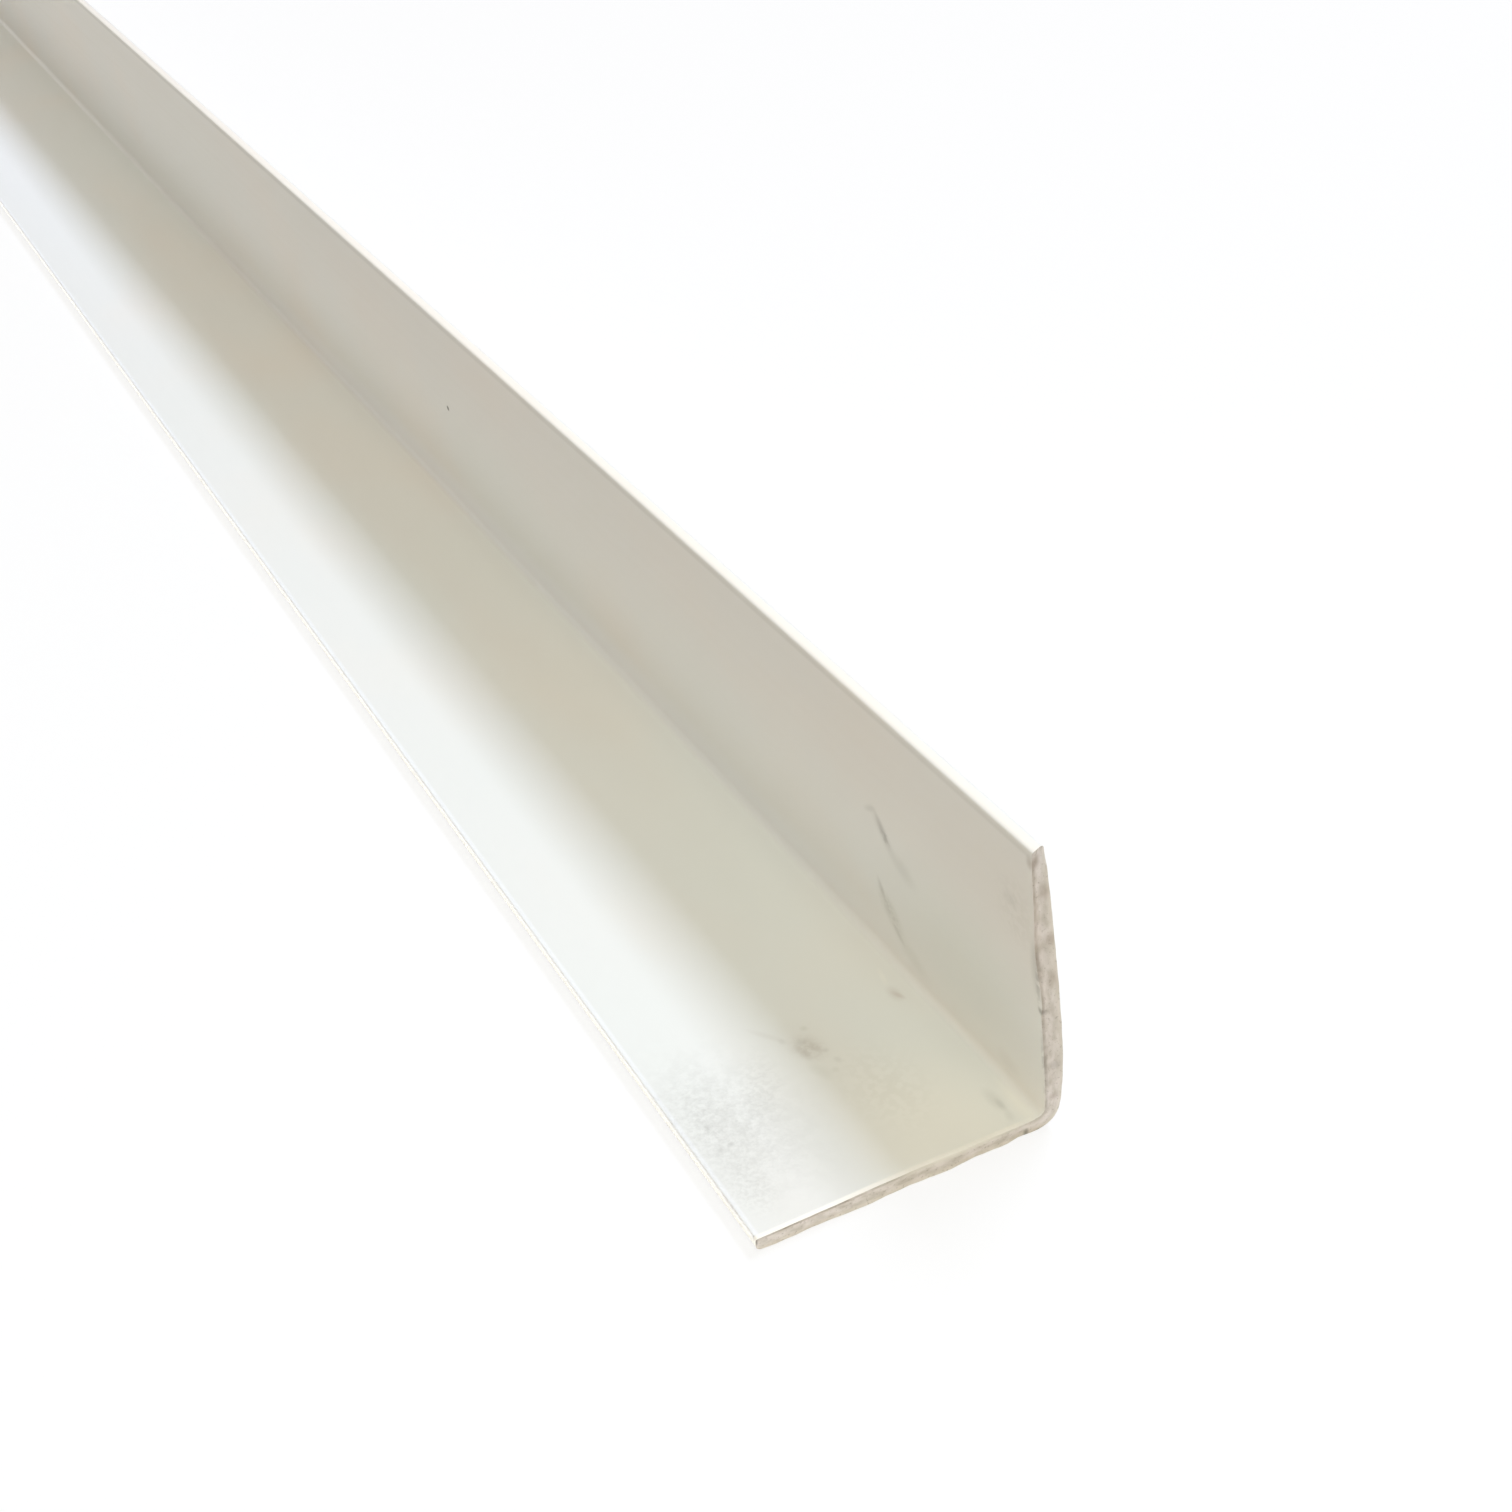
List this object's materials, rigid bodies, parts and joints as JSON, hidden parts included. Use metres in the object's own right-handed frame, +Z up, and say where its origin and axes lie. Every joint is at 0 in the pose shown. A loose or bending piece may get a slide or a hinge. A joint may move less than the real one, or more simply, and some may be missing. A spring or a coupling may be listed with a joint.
{
  "type": "pvc corner angle",
  "caption": "Length of white rigid PVC L profile with equal legs, a rounded heel and eased toes, for covering or trimming outside and inside corners.",
  "frame": {"origin": "middle of the bar's length, under the middle of the flat leg, on the face that lies on the floor", "axes": "+X along the length towards the hand-sawn end, +Y from the flat leg's toe towards the upright leg, +Z up"},
  "size_m": [1, 0.05, 0.05],
  "materials": {
    "rigid_pvc": "satin"
  },
  "bodies": {
    "root": {"corner_angle": "rigid_pvc"}
  },
  "joints": []
}
